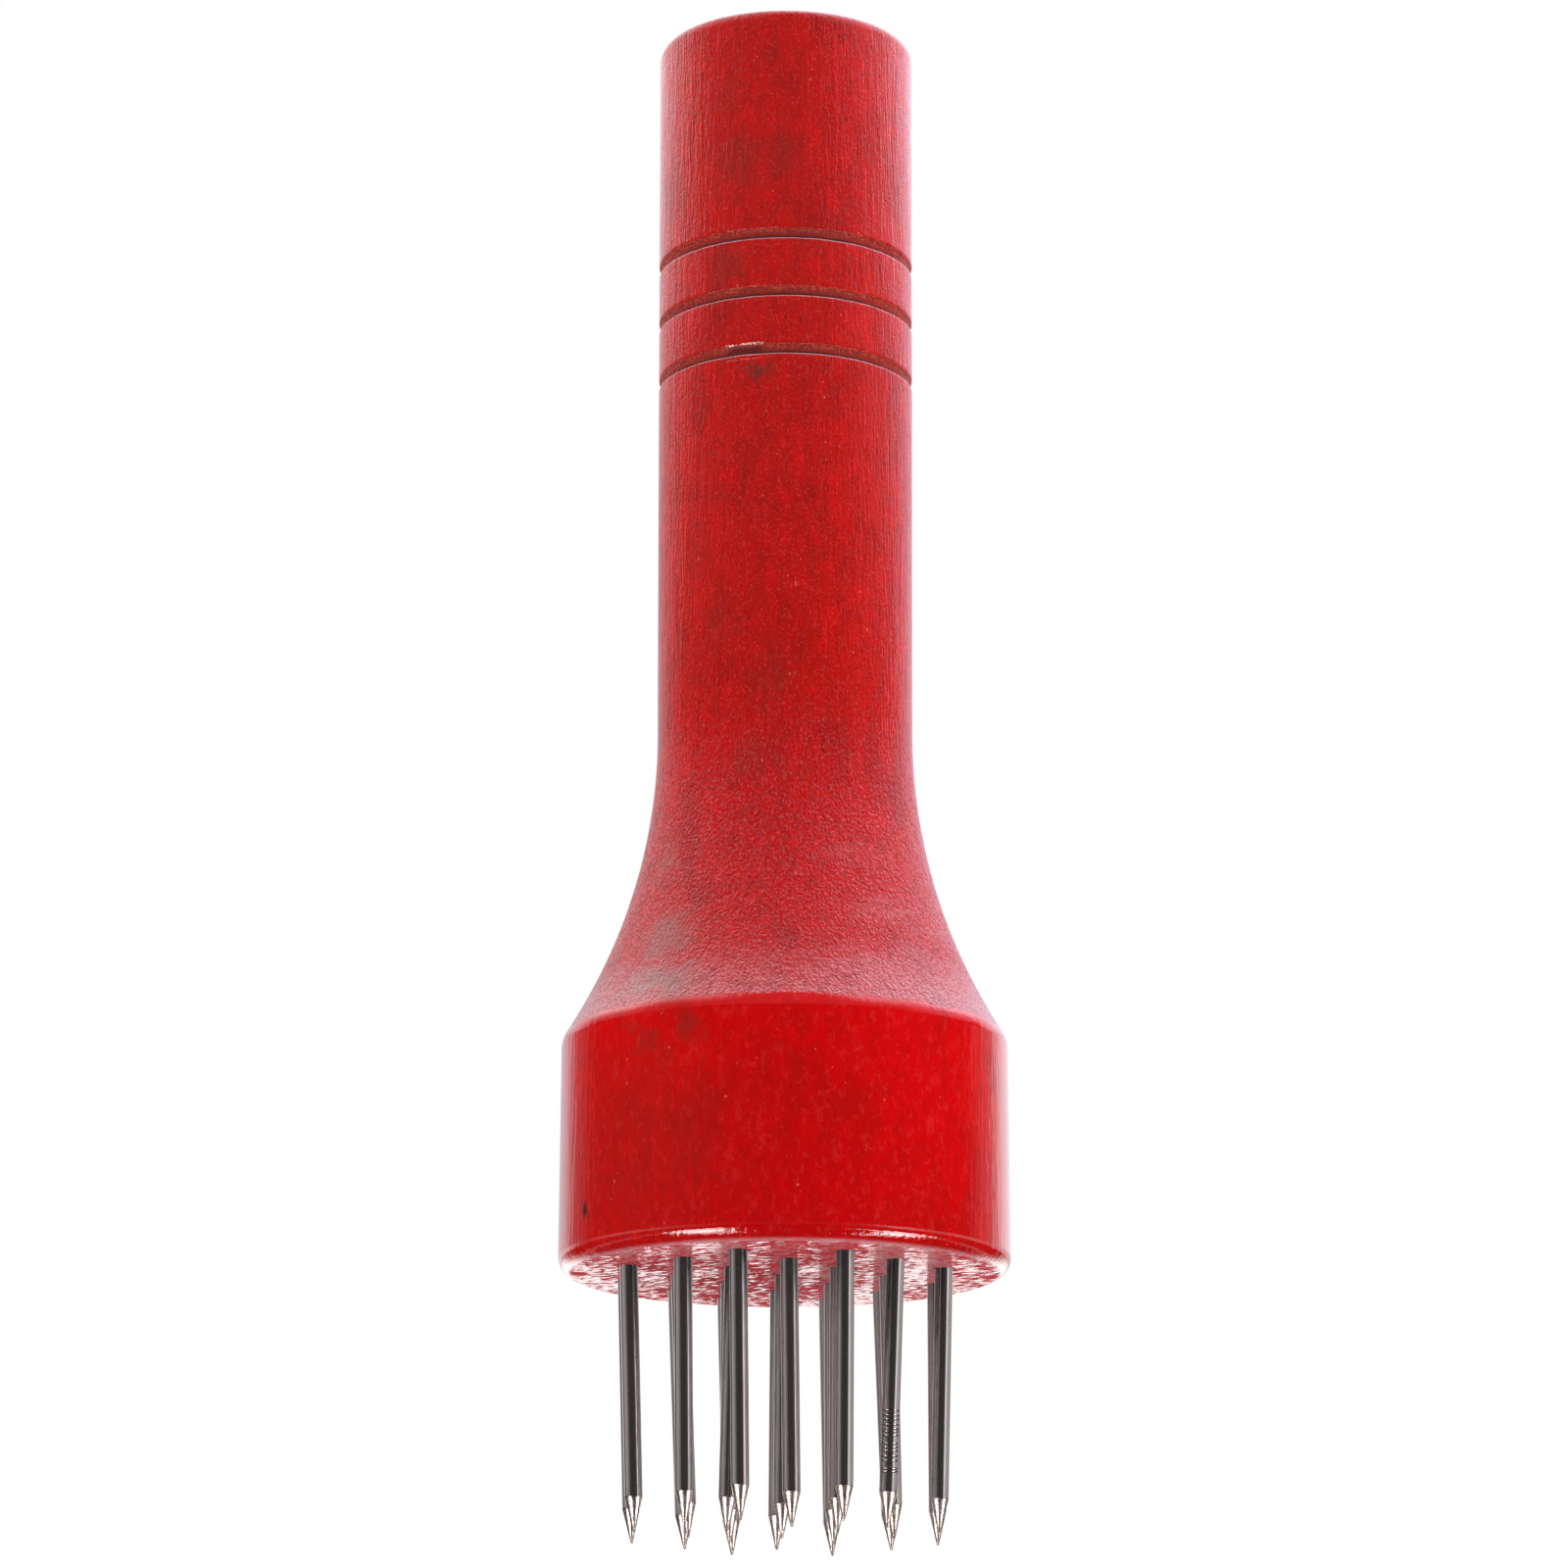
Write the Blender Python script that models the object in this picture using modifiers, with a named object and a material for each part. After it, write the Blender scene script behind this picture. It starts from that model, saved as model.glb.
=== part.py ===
"""Needle meat tenderizer: a one-piece turned hardwood handle and head, and 21 steel needles.

The handle is held upright and the needles point down. The origin is on the handle's axis, level
with the needle points, and +Z runs up along the handle. -Y is the front. All sizes are in metres.
"""

import math

import bmesh
import bpy
from mathutils import Matrix, Vector

MM = 0.001

# Turned wooden body, from the underside of the head up to the butt of the handle
HEAD_DIAMETER = 58.5 * MM
HEAD_TAPER = 0.3 * MM
HEAD_HEIGHT = 30.4 * MM
RIM_RADIUS = 2.3 * MM
SHOULDER_RADIUS = 3.5 * MM
COVE_RADIUS = 75.8 * MM
NECK_DIAMETER = 33.7 * MM
GRIP_LENGTH = 96.2 * MM
BUTT_DIAMETER = 34.3 * MM
BUTT_RADIUS = 1.8 * MM

# Turned rings in the grip, counted down from the butt
GROOVE_COUNT = 3
GROOVE_SETBACK = 31.8 * MM
GROOVE_PITCH = 8.0 * MM
GROOVE_WIDTH = 1.4 * MM
GROOVE_DEPTH = 0.6 * MM

# Needles: bright drawn steel wire, ground to a cone and driven into blind bores
NEEDLE_DIAMETER = 2.3 * MM
NEEDLE_REACH = 33.8 * MM
NEEDLE_SEAT = 16.0 * MM
POINT_LENGTH = 4.4 * MM
POINT_BLUNT = 0.12 * MM
NEEDLE_CHAMFER = 0.2 * MM
BORE_CLEARANCE = 0.15 * MM
BORE_SPARE = 0.3 * MM

# The needles stand in a square grid without its corners, one corner of it to the front
NEEDLES_PER_SIDE = 5
NEEDLE_INSET = 8.0 * MM
GRID_TURN = math.radians(45)

# Needles are driven by hand, so most lean a little: degrees towards +X, by column letter
# from the left and number from the front
NEEDLE_LEAN = {
    "a1": 1.5,
    "a2": 1.5,
    "b1": 0.5,
    "b2": 2.0,
    "b3": 2.0,
    "c1": 0.5,
    "c2": -1.5,
    "c4": 1.5,
    "d1": 0.5,
    "d2": -0.5,
    "d3": -0.5,
    "e1": -0.5,
    "e2": -0.5,
    "e4": 1.0,
    "f1": -2.0,
    "f2": 1.0,
    "f3": 2.0,
    "g1": -1.5,
}

# How finely the round shapes are faceted
BODY_SIDES = 72
NEEDLE_SIDES = 20
FILLET_STEPS = 5
COVE_STEPS = 14
GROOVE_STEPS = 6
SHARP_ANGLE = math.radians(32)

# Colours are linear, read from the finish of the real thing
RED_LACQUER = (0.46, 0.012, 0.016, 1.0)
POLISHED_STEEL = (0.58, 0.56, 0.55, 1.0)


def clear_scene():
    for obj in list(bpy.data.objects):
        bpy.data.objects.remove(obj, do_unlink=True)


def new_collection(name):
    collection = bpy.data.collections.new(name)
    bpy.context.scene.collection.children.link(collection)
    return collection


def new_material(name, colour, roughness, metallic, coat=0.0):
    material = bpy.data.materials.new(name)
    material.use_nodes = True
    shader = material.node_tree.nodes["Principled BSDF"]
    shader.inputs["Base Color"].default_value = colour
    shader.inputs["Roughness"].default_value = roughness
    shader.inputs["Metallic"].default_value = metallic
    shader.inputs["Coat Weight"].default_value = coat
    material.diffuse_color = colour
    return material


def arc(centre_x, centre_z, radius, start, end, steps):
    """Points on a circle in the X-Z plane, from angle start to angle end, both ends included."""
    points = []
    for step in range(steps + 1):
        angle = start + (end - start) * step / steps
        points.append((centre_x + radius * math.cos(angle), centre_z + radius * math.sin(angle)))
    return points


def turned_mesh(name, profile, sides):
    """A closed mesh turned about Z from a profile of (radius, height) points, top to bottom."""
    outline = bpy.data.meshes.new(name + "_outline")
    edges = [(i, i + 1) for i in range(len(profile) - 1)]
    outline.from_pydata([(radius, 0.0, height) for radius, height in profile], edges, [])
    lathe = bpy.data.objects.new(name + "_outline", outline)
    bpy.context.scene.collection.objects.link(lathe)

    screw = lathe.modifiers.new("Turn", "SCREW")
    screw.axis = "Z"
    screw.angle = math.tau
    screw.steps = sides
    screw.render_steps = sides
    screw.use_merge_vertices = True
    screw.merge_threshold = 0.00001

    depsgraph = bpy.context.evaluated_depsgraph_get()
    mesh = bpy.data.meshes.new_from_object(lathe.evaluated_get(depsgraph))
    mesh.name = name
    bpy.data.objects.remove(lathe, do_unlink=True)
    mesh.shade_smooth()
    mesh.set_sharp_from_angle(angle=SHARP_ANGLE)
    return mesh


def body_profile(underside):
    """The turned outline of the handle and head, from the centre of the butt to that of the head."""
    rim = HEAD_DIAMETER / 2
    shoulder = rim - HEAD_TAPER / 2
    neck = NECK_DIAMETER / 2
    butt = BUTT_DIAMETER / 2

    # The cove is one arc that runs into the grip without a corner and meets the head at its edge
    cove_x = neck + COVE_RADIUS
    edge_z = underside + HEAD_HEIGHT
    cove_z = edge_z + math.sqrt(COVE_RADIUS**2 - (cove_x - shoulder) ** 2)
    top_z = cove_z + GRIP_LENGTH

    # The shoulder's fillet touches the head's side and the cove
    fillet_x = shoulder - SHOULDER_RADIUS
    centre_gap = COVE_RADIUS + SHOULDER_RADIUS
    fillet_z = cove_z - math.sqrt(centre_gap**2 - (cove_x - fillet_x) ** 2)
    meeting = math.atan2(cove_z - fillet_z, cove_x - fillet_x)

    points = [(0.0, top_z)]
    points += arc(butt - BUTT_RADIUS, top_z - BUTT_RADIUS, BUTT_RADIUS, math.pi / 2, 0, FILLET_STEPS)
    for ring in range(GROOVE_COUNT):
        ring_z = top_z - GROOVE_SETBACK - ring * GROOVE_PITCH
        side = neck + (butt - neck) * (ring_z - cove_z) / GRIP_LENGTH
        for step in range(GROOVE_STEPS + 1):
            angle = math.pi * step / GROOVE_STEPS
            deep = GROOVE_DEPTH * math.sin(angle)
            points.append((side - deep, ring_z + GROOVE_WIDTH / 2 * math.cos(angle)))
    points += arc(cove_x, cove_z, COVE_RADIUS, math.pi, math.pi + meeting, COVE_STEPS)
    points += arc(fillet_x, fillet_z, SHOULDER_RADIUS, meeting, 0, FILLET_STEPS)[1:]
    points += arc(rim - RIM_RADIUS, underside + RIM_RADIUS, RIM_RADIUS, 0, -math.pi / 2, FILLET_STEPS)
    points.append((0.0, underside))
    return points


def needle_profile():
    """A needle's outline about its own axis. Height 0 is where the needle leaves the wood."""
    radius = NEEDLE_DIAMETER / 2
    return [
        (0.0, NEEDLE_SEAT),
        (radius - NEEDLE_CHAMFER, NEEDLE_SEAT),
        (radius, NEEDLE_SEAT - NEEDLE_CHAMFER),
        (radius, -NEEDLE_REACH + POINT_LENGTH),
        (POINT_BLUNT, -NEEDLE_REACH),
        (0.0, -NEEDLE_REACH),
    ]


def needle_places(underside):
    """Each needle's label and the matrix that puts it in its bore, leaning as it was driven."""
    middle = (NEEDLES_PER_SIDE - 1) / 2
    outermost = math.hypot(middle, middle - 1)
    pitch = (HEAD_DIAMETER / 2 - NEEDLE_INSET) / outermost
    columns = {}
    for row in range(NEEDLES_PER_SIDE):
        for place in range(NEEDLES_PER_SIDE):
            grid_x, grid_y = row - middle, place - middle
            if abs(grid_x) == middle and abs(grid_y) == middle:
                continue
            spot = Matrix.Rotation(GRID_TURN, 4, "Z") @ Vector((grid_x * pitch, grid_y * pitch, 0))
            columns.setdefault(row - place, []).append(spot)

    places = {}
    for letter, column in enumerate(sorted(columns)):
        for number, spot in enumerate(sorted(columns[column], key=lambda point: point.y)):
            label = f"{chr(ord('a') + letter)}{number + 1}"
            lean = Matrix.Rotation(math.radians(-NEEDLE_LEAN.get(label, 0.0)), 4, "Y")
            root = Vector((spot.x, spot.y, underside))
            places[label] = Matrix.Translation(root) @ lean
    return places


def drill_mesh():
    """The cutter for one blind bore: it starts below the wood and ends past the needle's top."""
    start = -RIM_RADIUS
    end = NEEDLE_SEAT + BORE_SPARE
    radius = NEEDLE_DIAMETER / 2 + BORE_CLEARANCE
    drill = bmesh.new()
    bmesh.ops.create_cone(
        drill,
        cap_ends=True,
        segments=NEEDLE_SIDES,
        radius1=radius,
        radius2=radius,
        depth=end - start,
        matrix=Matrix.Translation((0.0, 0.0, (start + end) / 2)),
    )
    mesh = bpy.data.meshes.new("bore_drill")
    drill.to_mesh(mesh)
    drill.free()
    return mesh


def add_object(name, mesh, collection, matrix, parent):
    obj = bpy.data.objects.new(name, mesh)
    collection.objects.link(obj)
    obj.parent = parent
    obj.matrix_local = matrix
    return obj


def build_tenderizer():
    parts = new_collection("needle_meat_tenderizer")
    cutters = new_collection("cutters")
    lacquered_wood = new_material("red_lacquered_wood", RED_LACQUER, 0.35, 0.0, coat=0.6)
    steel = new_material("polished_steel", POLISHED_STEEL, 0.15, 1.0)

    hand = bpy.data.objects.new("tenderizer_axis", None)
    parts.objects.link(hand)
    underside = NEEDLE_REACH

    wood = turned_mesh("turned_handle", body_profile(underside), BODY_SIDES)
    wood.materials.append(lacquered_wood)
    handle = add_object("turned_handle", wood, parts, Matrix.Identity(4), hand)

    needle = turned_mesh("needle", needle_profile(), NEEDLE_SIDES)
    needle.materials.append(steel)
    drill = drill_mesh()
    for label, place in needle_places(underside).items():
        add_object(f"needle_{label}", needle, parts, place, hand)
        cutter = add_object(f"bore_{label}", drill, cutters, place, hand)
        cutter.hide_render = True
        cutter.display_type = "WIRE"

    bores = handle.modifiers.new("Needle bores", "BOOLEAN")
    bores.operation = "DIFFERENCE"
    bores.solver = "EXACT"
    bores.operand_type = "COLLECTION"
    bores.collection = cutters


clear_scene()
build_tenderizer()
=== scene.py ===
# Needle meat tenderizer: the finish of its turned, red lacquered handle and of its steel needles.
# Metres, +Z up along the handle, -Y the front, needle points at height 0.
import math

import bpy
import numpy as np
from mathutils import Matrix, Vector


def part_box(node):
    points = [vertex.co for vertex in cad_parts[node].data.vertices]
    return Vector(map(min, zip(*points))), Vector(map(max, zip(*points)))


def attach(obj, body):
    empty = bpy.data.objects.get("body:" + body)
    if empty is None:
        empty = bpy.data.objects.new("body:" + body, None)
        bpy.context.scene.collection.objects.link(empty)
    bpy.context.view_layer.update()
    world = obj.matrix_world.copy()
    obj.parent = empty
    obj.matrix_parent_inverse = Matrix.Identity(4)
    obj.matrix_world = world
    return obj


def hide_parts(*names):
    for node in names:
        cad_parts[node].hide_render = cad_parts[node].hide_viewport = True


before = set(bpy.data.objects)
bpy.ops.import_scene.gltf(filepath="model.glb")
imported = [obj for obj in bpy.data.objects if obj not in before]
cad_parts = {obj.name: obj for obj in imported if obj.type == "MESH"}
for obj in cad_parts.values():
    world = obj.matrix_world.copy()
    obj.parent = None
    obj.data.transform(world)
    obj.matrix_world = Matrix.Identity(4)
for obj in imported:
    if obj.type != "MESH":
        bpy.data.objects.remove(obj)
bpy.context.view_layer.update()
mm = 0.001
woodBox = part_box("turned_handle")
print("frame: %d nodes" % len(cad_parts))


# Small helpers for materials: a value is a number, a colour or another node's output
def plug(socket, value):
    if isinstance(value, bpy.types.NodeSocket):
        socket.id_data.links.new(value, socket)
    else:
        socket.default_value = value


def plugAll(sockets, values):
    for socket, value in zip(sockets, values):
        plug(socket, value)


def newNode(kind, *values):
    # a node in the tree of the first value that is another node's output
    first = next(value for value in values if isinstance(value, bpy.types.NodeSocket))
    return first.id_data.nodes.new(kind)


def calc(operation, *values):
    node = newNode("ShaderNodeMath", *values)
    node.operation = operation
    plugAll(node.inputs, values)
    return node.outputs[0]


def times(product, *others):
    for other in others:
        product = calc("MULTIPLY", product, other)
    return product


def without(mask):
    # 1 where the mask is 0, and 0 where it is 1
    return calc("SUBTRACT", 1.0, mask)


def vectorCalc(operation, first, second=(0, 0, 0)):
    node = newNode("ShaderNodeVectorMath", first, second)
    node.operation = operation
    plugAll(node.inputs, (first, second))
    return node.outputs["Value" if operation == "LENGTH" else "Vector"]


def ease(value, low, high, start=0.0, end=1.0):
    # runs smoothly from start to end while value runs from low to high
    node = newNode("ShaderNodeMapRange", value)
    node.interpolation_type = "SMOOTHSTEP"
    plugAll(node.inputs, (value, low, high, start, end))
    return node.outputs[0]


def window(value, low, high, soft, softHigh=None):
    # 1 between low and high, 0 outside, with soft edges
    softHigh = soft if softHigh is None else softHigh
    rise = ease(value, low - soft, low + soft)
    fall = ease(value, high - softHigh, high + softHigh, 1.0, 0.0)
    return times(rise, fall)


def blendValue(mask, under, over):
    node = newNode("ShaderNodeMix", mask)
    plugAll((node.inputs[0], node.inputs[2], node.inputs[3]), (mask, under, over))
    return node.outputs[0]


def blendColour(mask, under, over):
    node = newNode("ShaderNodeMix", mask)
    node.data_type = "RGBA"
    plugAll((node.inputs[0], node.inputs[6], node.inputs[7]), (mask, under, over))
    return node.outputs[2]


def attribute(tree, name):
    node = tree.nodes.new("ShaderNodeAttribute")
    node.attribute_name = name
    return node.outputs["Fac"]


def shift(place, scale, move=(0, 0, 0)):
    # stretches the pattern by 1 / scale and slides it by move
    node = newNode("ShaderNodeMapping", place)
    plug(node.inputs["Vector"], place)
    node.inputs["Scale"].default_value = scale
    node.inputs["Location"].default_value = move
    return node.outputs[0]


def turned(place, angle, axis="Z_AXIS"):
    # coordinates whose X, where they turn about Z, runs along this angle in degrees
    node = newNode("ShaderNodeVectorRotate", place)
    node.rotation_type = axis
    plug(node.inputs["Vector"], place)
    node.inputs["Angle"].default_value = -math.radians(angle)
    return node.outputs[0]


def separate(place):
    node = newNode("ShaderNodeSeparateXYZ", place)
    plug(node.inputs[0], place)
    return node.outputs["X"], node.outputs["Y"], node.outputs["Z"]


def noise(place, look):
    # look: a row like those of grain, whose detail, roughness and distortion may be left out
    scale, move, perUnit, *finer = look
    node = newNode("ShaderNodeTexNoise", place)
    plug(node.inputs["Vector"], shift(place, scale, move))
    node.inputs["Scale"].default_value = perUnit
    for name, value in zip(("Detail", "Roughness", "Distortion"), finer):
        node.inputs[name].default_value = value
    return node.outputs["Fac"]


def newMaterial(name, colour):
    material = bpy.data.materials.new(name)
    material.use_nodes = True
    material.diffuse_color = colour
    return material, material.node_tree, material.node_tree.nodes["Principled BSDF"]


def objectPlace(tree):
    return tree.nodes.new("ShaderNodeTexCoord").outputs["Object"]


def millimetres(tree):
    # Object coordinates in millimetres, so that every pattern's size is a real one
    return vectorCalc("MULTIPLY", objectPlace(tree), (1 / mm,) * 3)


def addRelief(shader, height, unit, sockets):
    # bump from a height that is given in this unit
    bump = newNode("ShaderNodeBump", height)
    bump.inputs["Distance"].default_value = unit
    plug(bump.inputs["Height"], height)
    for socket in sockets:
        plug(shader.inputs[socket], bump.outputs[0])


# Small helpers for meshes
def smoothStep(value, low, high):
    part = np.clip((value - low) / (high - low), 0, 1)
    return part * part * (3 - 2 * part)


def vertexPoints(mesh):
    points = np.empty(len(mesh.vertices) * 3, np.float32)
    mesh.vertices.foreach_get("co", points)
    return points.reshape(-1, 3).astype(float)


def storeAttribute(mesh, name, values):
    layer = mesh.attributes.new(name, "FLOAT", "POINT")
    layer.data.foreach_set("value", np.ascontiguousarray(values, np.float32))


def addObject(name, data):
    made = bpy.data.objects.new(name, data)
    bpy.context.scene.collection.objects.link(made)
    return made


def circleAngles(count):
    return np.linspace(0, 2 * math.pi, count, endpoint=False)


def ringSurface(name, rings):
    # a closed surface from rings of points (rows x columns x 3), each end closed by a fan
    rows, columns = rings.shape[:2]
    poles = np.array([rings[0].mean(0), rings[-1].mean(0)])
    points = np.vstack([rings.reshape(-1, 3), poles])
    place = np.arange(rows * columns).reshape(rows, columns)
    after = np.roll(place, -1, axis=1)
    quads = np.stack([place[:-1], after[:-1], after[1:], place[1:]], axis=-1).reshape(-1, 4)
    bottomFan = np.column_stack([after[0], place[0], np.full(columns, rows * columns)])
    topFan = np.column_stack([place[-1], after[-1], np.full(columns, rows * columns + 1)])
    mesh = bpy.data.meshes.new(name)
    mesh.from_pydata(points.tolist(), [], quads.tolist() + bottomFan.tolist() + topFan.tolist())
    mesh.validate()
    return mesh


# The camera: a long lens held below the needle points, looking up the tool
cameraSetup = {
    "turn": -2.8,  # degrees round the tool from straight in front
    "away": 706.2 * mm,
    "height": -77.2 * mm,
    "aside": -0.14 * mm,
    "tilt": 14.02,  # degrees up from level
    "roll": 0.066,
    "lens": 126.78,  # in millimetres, as is the frame's width
    "sensor": 36.0,
    "nearest": 20 * mm,
}


def placeCamera():
    lens = bpy.data.cameras.new("photoCamera")
    lens.lens = cameraSetup["lens"]
    lens.sensor_width = cameraSetup["sensor"]
    lens.clip_start = cameraSetup["nearest"]
    camera = addObject("photoCamera", lens)
    turn, tilt, roll = (math.radians(cameraSetup[key]) for key in ("turn", "tilt", "roll"))
    stand = Matrix.Rotation(turn, 4, "Z") @ Matrix.Translation(
        (cameraSetup["aside"], -cameraSetup["away"], cameraSetup["height"])
    )
    aim = Matrix.Rotation(math.pi / 2 + tilt, 4, "X") @ Matrix.Rotation(roll, 4, "Z")
    camera.matrix_world = stand @ aim
    bpy.context.scene.camera = camera


placeCamera()
print("camera placed")

# The turned body's outline, in the sizes of the solid it covers
body = {
    "taper": 0.3 * mm,
    "headHeight": 30.4 * mm,
    "rimRadius": 2.3 * mm,
    "rimHeight": 2.1 * mm,  # sanding has left the rim a little flatter than round
    "shoulderRadius": 3.5 * mm,
    "coveRadius": 75.8 * mm,
    "neck": 33.7 * mm,
    "butt": 34.3 * mm,
    "buttRadius": 1.8 * mm,
    "columns": 300,
    "step": 1.5 * mm,  # between rows on the side
    "undersideStep": 1.1 * mm,
    "buttStep": 1.4 * mm,
    "edgeRow": 0.12 * mm,  # a row that keeps faces flat up to an edge
    "rows": {"rim": 16, "shoulder": 10, "cove": 60, "butt": 12},
    "unevenness": 0.03 * mm,  # what hand sanding leaves of a true circle
    # its waves: how many round the tool, height of a turn in each, strength and start
    "sway": [(2, 31 * mm, 1.0, 0.0), (3, -17 * mm, 0.6, 1.1), (5, 9 * mm, 0.5, 2.3)],
    "swayFrom": (12 * mm, 16 * mm),  # from no sway on the flat faces to all of it
}
grooves = {
    "count": 3,
    "setback": 31.8 * mm,
    "pitch": 8.0 * mm,
    "width": 1.25 * mm,  # at half its depth
    "depth": 0.55 * mm,
    "lip": 0.13 * mm,  # how quickly its walls fall away
    "reach": 1.05 * mm,  # fine rows on each side of its middle
    "rowStep": 0.075 * mm,
    "rowGap": 0.6,  # the least between two rows, in such steps
    "torn": 0.07 * mm,  # raggedness of lips and bottom
    "bottomRun": (1.2, 1.0),  # smoothness of the torn bottom, round and up, and of the lips
    "lipRun": (1.5, 0.0),
    "slant": 0.3,  # deeper by this share at its lower wall, shallower at the upper
    "chipRing": 2,  # the ring whose upper lip has broken out
    "chip": (-26.6, -11.4),  # from and to, degrees from the camera's side
    "chipFade": 2,
    "chipHeight": 0.3 * mm,
    "chipMean": 0.7,  # its broken edge wanders about this share of that height
    "seed": 5,
}

underside = woodBox[0].z
topHeight = woodBox[1].z
rim = woodBox[1].x
shoulder = rim - body["taper"] / 2
neck = body["neck"] / 2
butt = body["butt"] / 2
coveX = neck + body["coveRadius"]
coveTop = underside + body["headHeight"] + math.sqrt(
    body["coveRadius"] ** 2 - (coveX - shoulder) ** 2
)
grooveHeights = topHeight - grooves["setback"] - grooves["pitch"] * np.arange(grooves["count"])


def arcPoints(centreX, centreZ, radius, start, end, steps):
    # even points on a circle, both ends included
    angles = np.linspace(start, end, steps + 1)
    return np.column_stack([centreX + radius * np.cos(angles), centreZ + radius * np.sin(angles)])


def straight(first, last, step):
    # points on a line, both ends left out, with one close to each end that keeps its shading flat
    length = math.dist(first, last)
    share = np.linspace(0, 1, max(2, round(length / step)) + 1)
    share[0], share[-1] = body["edgeRow"] / length, 1 - body["edgeRow"] / length
    return np.outer(1 - share, first) + np.outer(share, last)


def shoulderRound():
    # middle of the shoulder's round, and the angle at which it runs into the cove
    x = shoulder - body["shoulderRadius"]
    z = coveTop - math.sqrt((body["coveRadius"] + body["shoulderRadius"]) ** 2 - (coveX - x) ** 2)
    return x, z, math.atan2(coveTop - z, coveX - x)


def gripRadius(height):
    return neck + (butt - neck) * (height - coveTop) / (topHeight - coveTop)


def gripRows():
    # heights of the grip's rows: even ones, and fine ones across each groove
    top = topHeight - body["buttRadius"]
    heights = [np.arange(coveTop + body["step"], top - body["step"] / 2, body["step"])]
    for middle in grooveHeights:
        heights.append(middle + np.arange(-grooves["reach"], grooves["reach"], grooves["rowStep"]))
    heights = np.unique(np.round(np.concatenate(heights), 6))
    return heights[np.append(True, np.diff(heights) > grooves["rowStep"] * grooves["rowGap"])]


def bodyOutline():
    # (radius, height) from the middle of the underside, up the side to the middle of the butt
    rows, step, buttR, rimR = (body[key] for key in ("rows", "step", "buttRadius", "rimRadius"))
    filletX, filletZ, meeting = shoulderRound()
    rimArc = arcPoints(rim - rimR, 0, rimR, -math.pi / 2, 0, rows["rim"])
    rimArc[:, 1] = underside + (rimArc[:, 1] + rimR) * body["rimHeight"] / rimR
    fillet = arcPoints(filletX, filletZ, body["shoulderRadius"], 0, meeting, rows["shoulder"])
    cove = arcPoints(coveX, coveTop, body["coveRadius"], math.pi + meeting, math.pi, rows["cove"])
    grip = gripRows()
    buttArc = arcPoints(butt - buttR, topHeight - buttR, buttR, 0, math.pi / 2, rows["butt"])
    return np.vstack([
        straight((0.0, underside), rimArc[0], body["undersideStep"]),
        rimArc,
        straight(rimArc[-1], fillet[0], step),
        fillet,
        cove[1:],
        np.column_stack([gripRadius(grip), grip]),
        buttArc,
        straight(buttArc[-1], (0.0, topHeight), body["buttStep"]),
    ])


def raggedField(rows, columns, alongRow, acrossRows, seed):
    # random numbers smoothed by a Gaussian that is alongRow columns and acrossRows rows wide
    # (20 is about 2 pi^2), and brought to -1 to 1
    field = np.random.default_rng(seed).standard_normal((rows, columns))
    turns = np.fft.fftfreq(columns)[None, :] * alongRow
    climbs = np.fft.fftfreq(rows)[:, None] * acrossRows
    smooth = np.fft.ifft2(np.fft.fft2(field) * np.exp(-20 * (turns**2 + climbs**2))).real
    return smooth / np.abs(smooth).max()


def chipShare(angle):
    # 1 along the chip, falling to 0 at its ends
    first, last = (math.radians(turn + cameraSetup["turn"]) for turn in grooves["chip"])
    near = (angle + math.pi) % (2 * math.pi) - math.pi
    fade = math.radians(grooves["chipFade"])
    return smoothStep(near, first - fade, first) * (1 - smoothStep(near, last, last + fade))


def groovedRadius(radius, height, angle):
    # radius less each groove: depth times a soft step down and a soft step up again in height,
    # whose edges wander round the handle and whose bottom is torn
    rows, columns = height.shape
    rough = raggedField(rows, columns, *grooves["bottomRun"], grooves["seed"])
    half = grooves["width"] / 2
    for number, middle in enumerate(grooveHeights):
        upperEdge, lowerEdge = raggedField(2, columns, *grooves["lipRun"], grooves["seed"] + 1 + number)
        upper = half + upperEdge * grooves["torn"]
        lower = half + lowerEdge * grooves["torn"] / 2
        if number == grooves["chipRing"]:
            broken = grooves["chipHeight"] * (grooves["chipMean"] + lowerEdge)
            upper = upper + chipShare(angle) * broken
        away = height - middle
        inside = np.tanh((upper - away) / grooves["lip"]) + np.tanh((lower + away) / grooves["lip"])
        inside = np.clip(inside / 2, 0.0, 1.0)
        slant = 1 - grooves["slant"] * np.clip(away / half, -1, 1)
        radius = radius - inside * (grooves["depth"] * slant + rough * grooves["torn"])
    return radius


def bodySurface():
    # the outline turned about Z: x = r sin(angle), y = -r cos(angle), with r a little uneven
    outline = bodyOutline()
    angle = circleAngles(body["columns"])[None, :]
    height = np.repeat(outline[:, 1:], body["columns"], axis=1)
    radius = np.repeat(outline[:, :1], body["columns"], axis=1)
    sway = sum(
        strength * np.sin(count * angle + height / climb + start)
        for count, climb, strength, start in body["sway"]
    )
    sway = sway / sum(strength for _, _, strength, _ in body["sway"])
    first, last = body["swayFrom"]
    onSide = np.clip((radius - first) / (last - first), 0, 1)
    radius = radius + (sway - 1) * body["unevenness"] * onSide
    radius = groovedRadius(radius, height, angle)
    rings = np.stack([radius * np.sin(angle), -radius * np.cos(angle), height], axis=-1)
    return ringSurface("turned_wood_body", rings)


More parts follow.
